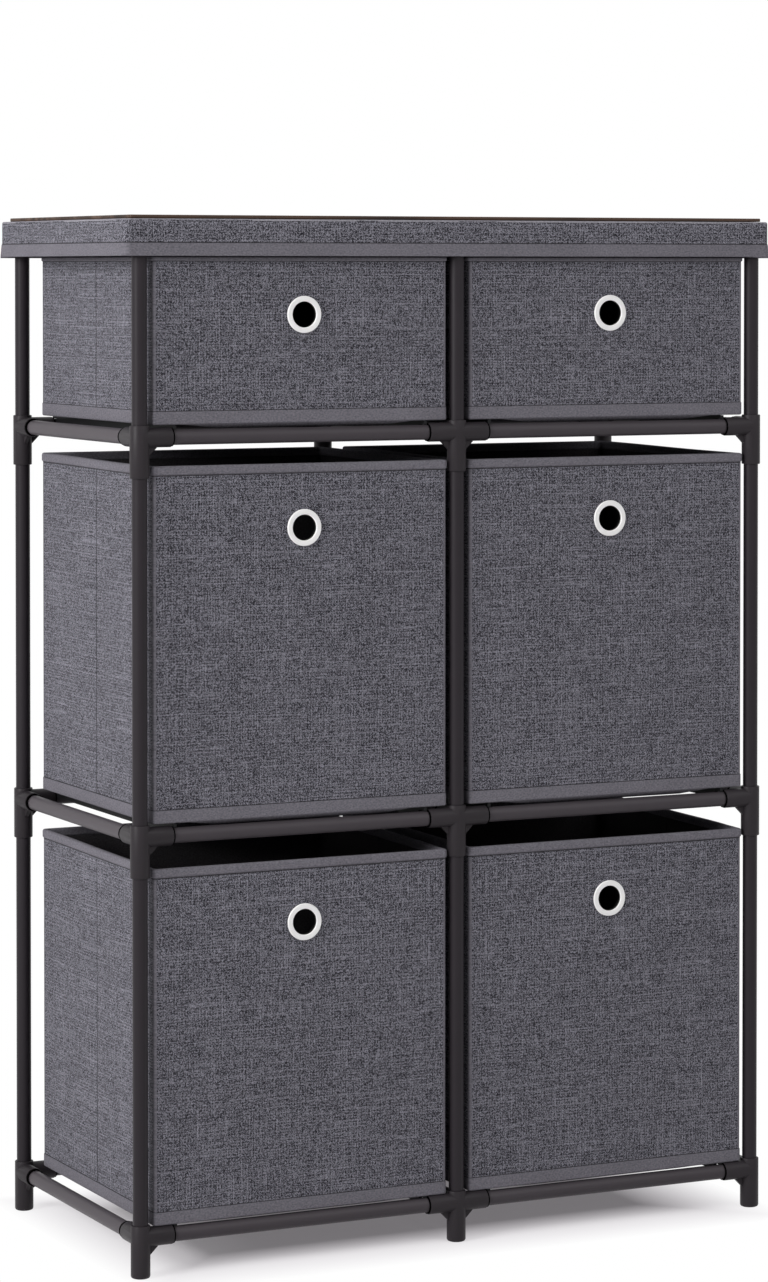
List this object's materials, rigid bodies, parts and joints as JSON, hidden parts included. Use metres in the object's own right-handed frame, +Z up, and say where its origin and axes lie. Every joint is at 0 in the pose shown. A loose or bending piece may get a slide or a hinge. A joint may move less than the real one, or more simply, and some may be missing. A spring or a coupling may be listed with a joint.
{
  "type": "fabric drawer dresser",
  "caption": "Tube-framed storage dresser with open fabric drawers in two columns, ring pulls, a fabric-covered top and a thin wooden board.",
  "frame": {"origin": "on the floor, under the centre of the dresser", "axes": "+Z up; the drawer fronts face -Y; +X to the right when looking at the fronts"},
  "size_m": [0.644, 0.302, 0.9155],
  "materials": {
    "frame_tube": "satin charcoal powder coat",
    "connector": "matte black moulded plastic",
    "support_bar": "black painted flat steel",
    "drawer_fabric": "dark grey heathered linen weave",
    "cover_fabric": "grey heathered linen weave with a plain hem",
    "grommet": "satin cream moulded plastic",
    "board": "rustic dark brown wood grain"
  },
  "bodies": {
    "frame": {"post_front_left": "frame_tube", "post_front_centre": "frame_tube", "post_front_right": "frame_tube", "post_rear_left": "frame_tube", "post_rear_centre": "frame_tube", "post_rear_right": "frame_tube", "foot_front_left": "connector", "foot_front_centre": "connector", "foot_front_right": "connector", "connector_front_left_middle": "connector", "connector_front_centre_middle": "connector", "connector_front_right_middle": "connector", "connector_front_left_upper": "connector", "connector_front_centre_upper": "connector", "connector_front_right_upper": "connector", "rear_crossbar_lower": "frame_tube", "rear_crossbar_middle": "frame_tube", "rear_crossbar_upper": "frame_tube", "top_frame": "frame_tube", "front_rail_left_lower": "frame_tube", "front_rail_right_lower": "frame_tube", "front_rail_left_middle": "frame_tube", "front_rail_right_middle": "frame_tube", "front_rail_left_upper": "frame_tube", "front_rail_right_upper": "frame_tube", "depth_rail_left_lower": "frame_tube", "depth_rail_centre_lower": "frame_tube", "depth_rail_right_lower": "frame_tube", "depth_rail_left_middle": "frame_tube", "depth_rail_centre_middle": "frame_tube", "depth_rail_right_middle": "frame_tube", "depth_rail_left_upper": "frame_tube", "depth_rail_centre_upper": "frame_tube", "depth_rail_right_upper": "frame_tube", "support_bar_left_lower_left": "support_bar", "support_bar_left_lower_right": "support_bar", "support_bar_right_lower_left": "support_bar", "support_bar_right_lower_right": "support_bar", "support_bar_left_middle_left": "support_bar", "support_bar_left_middle_right": "support_bar", "support_bar_right_middle_left": "support_bar", "support_bar_right_middle_right": "support_bar", "support_bar_left_upper_left": "support_bar", "support_bar_left_upper_right": "support_bar", "support_bar_right_upper_left": "support_bar", "support_bar_right_upper_right": "support_bar", "top_cover": "cover_fabric", "top_board": "board"},
    "left_lower_drawer": {"drawer_left_lower": "drawer_fabric", "grommet_left_lower": "grommet"},
    "right_lower_drawer": {"drawer_right_lower": "drawer_fabric", "grommet_right_lower": "grommet"},
    "left_middle_drawer": {"drawer_left_middle": "drawer_fabric", "grommet_left_middle": "grommet"},
    "right_middle_drawer": {"drawer_right_middle": "drawer_fabric", "grommet_right_middle": "grommet"},
    "left_upper_drawer": {"drawer_left_upper": "drawer_fabric", "grommet_left_upper": "grommet"},
    "right_upper_drawer": {"drawer_right_upper": "drawer_fabric", "grommet_right_upper": "grommet"}
  },
  "joints": [
    {"name": "left_lower_slide", "type": "slide", "parent": "frame", "child": "left_lower_drawer", "axis": [0, -1, 0], "range_m": [0, 0.29]},
    {"name": "right_lower_slide", "type": "slide", "parent": "frame", "child": "right_lower_drawer", "axis": [0, -1, 0], "range_m": [0, 0.29]},
    {"name": "left_middle_slide", "type": "slide", "parent": "frame", "child": "left_middle_drawer", "axis": [0, -1, 0], "range_m": [0, 0.29]},
    {"name": "right_middle_slide", "type": "slide", "parent": "frame", "child": "right_middle_drawer", "axis": [0, -1, 0], "range_m": [0, 0.29]},
    {"name": "left_upper_slide", "type": "slide", "parent": "frame", "child": "left_upper_drawer", "axis": [0, -1, 0], "range_m": [0, 0.29]},
    {"name": "right_upper_slide", "type": "slide", "parent": "frame", "child": "right_upper_drawer", "axis": [0, -1, 0], "range_m": [0, 0.29]}
  ]
}
